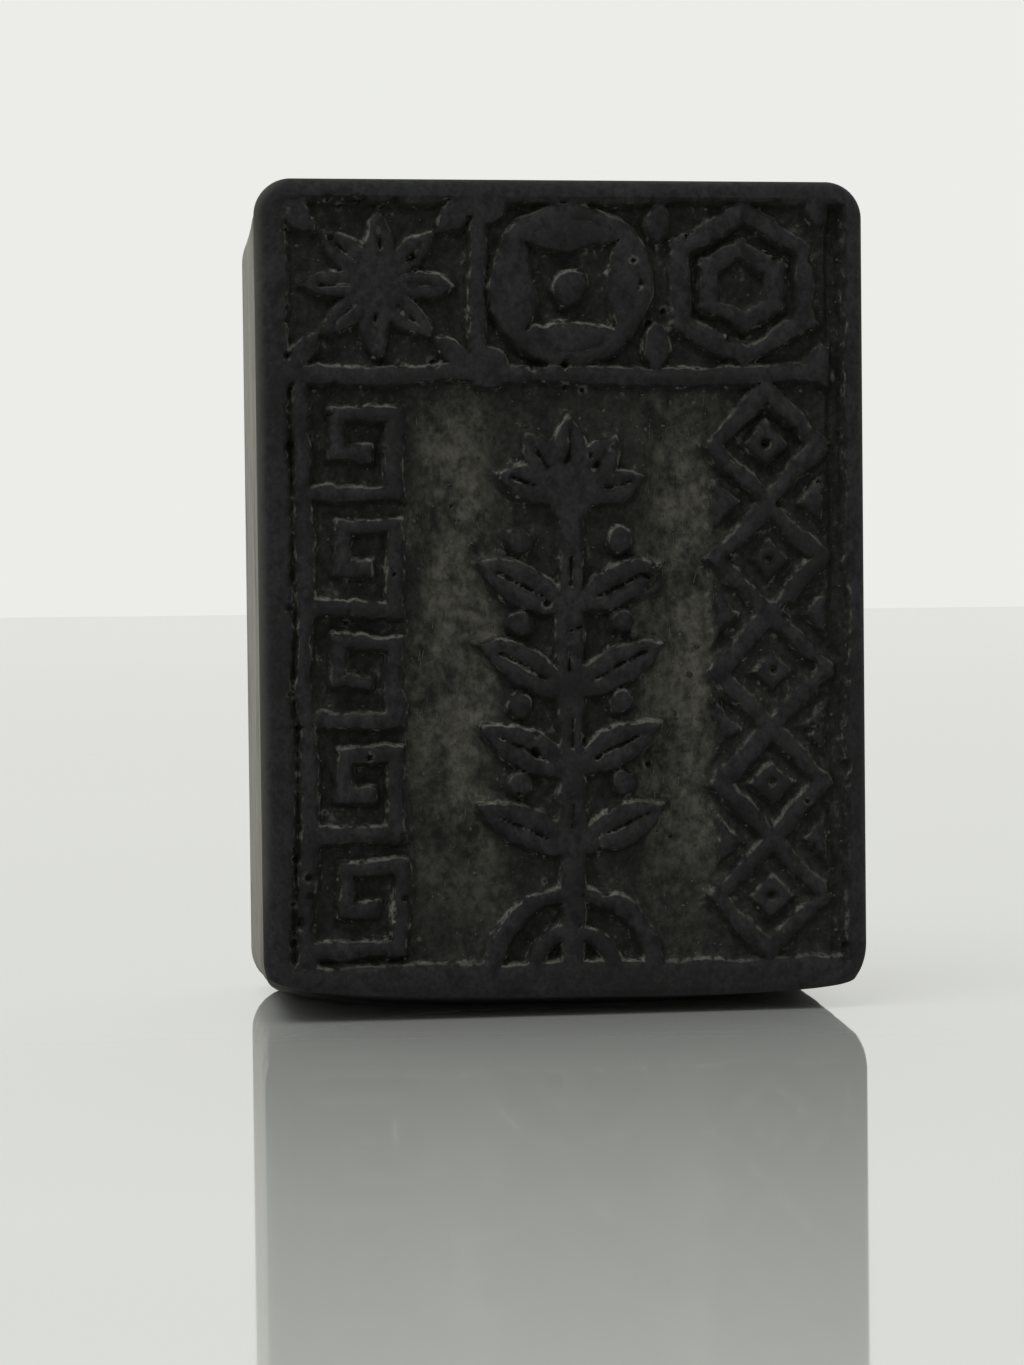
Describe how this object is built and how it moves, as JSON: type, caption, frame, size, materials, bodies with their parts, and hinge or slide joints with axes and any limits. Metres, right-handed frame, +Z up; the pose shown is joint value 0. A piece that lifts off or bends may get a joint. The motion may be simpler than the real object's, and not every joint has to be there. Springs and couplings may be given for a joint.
{
  "type": "seal stamp",
  "caption": "Hand-carved wooden seal stamp: a rectangular printing plate with raised ornament, blackened by ink, glued and pegged to a pale wood block.",
  "frame": {"origin": "centre of the bottom of the bounding box, on the surface that the stamp stands on", "axes": "+Z up along the stamp's long side; the carved printing face looks towards -Y; +X is to the right when the face is seen from the front"},
  "size_m": [0.033, 0.0164, 0.045],
  "materials": {
    "inked_wood": "ink-soaked, worn, satin on the printing surfaces and dull in the cuts",
    "hide_glue": "hardened animal glue, glossy amber brown",
    "pale_wood": "bare, weathered grey-tan, smooth with fine upright grain",
    "bamboo": "bare split bamboo, turned"
  },
  "bodies": {
    "root": {"face_plate": "inked_wood", "glue_film": "hide_glue", "backing_block": "pale_wood", "peg_1": "bamboo", "peg_2": "bamboo", "peg_3": "bamboo", "peg_4": "bamboo"}
  },
  "joints": []
}
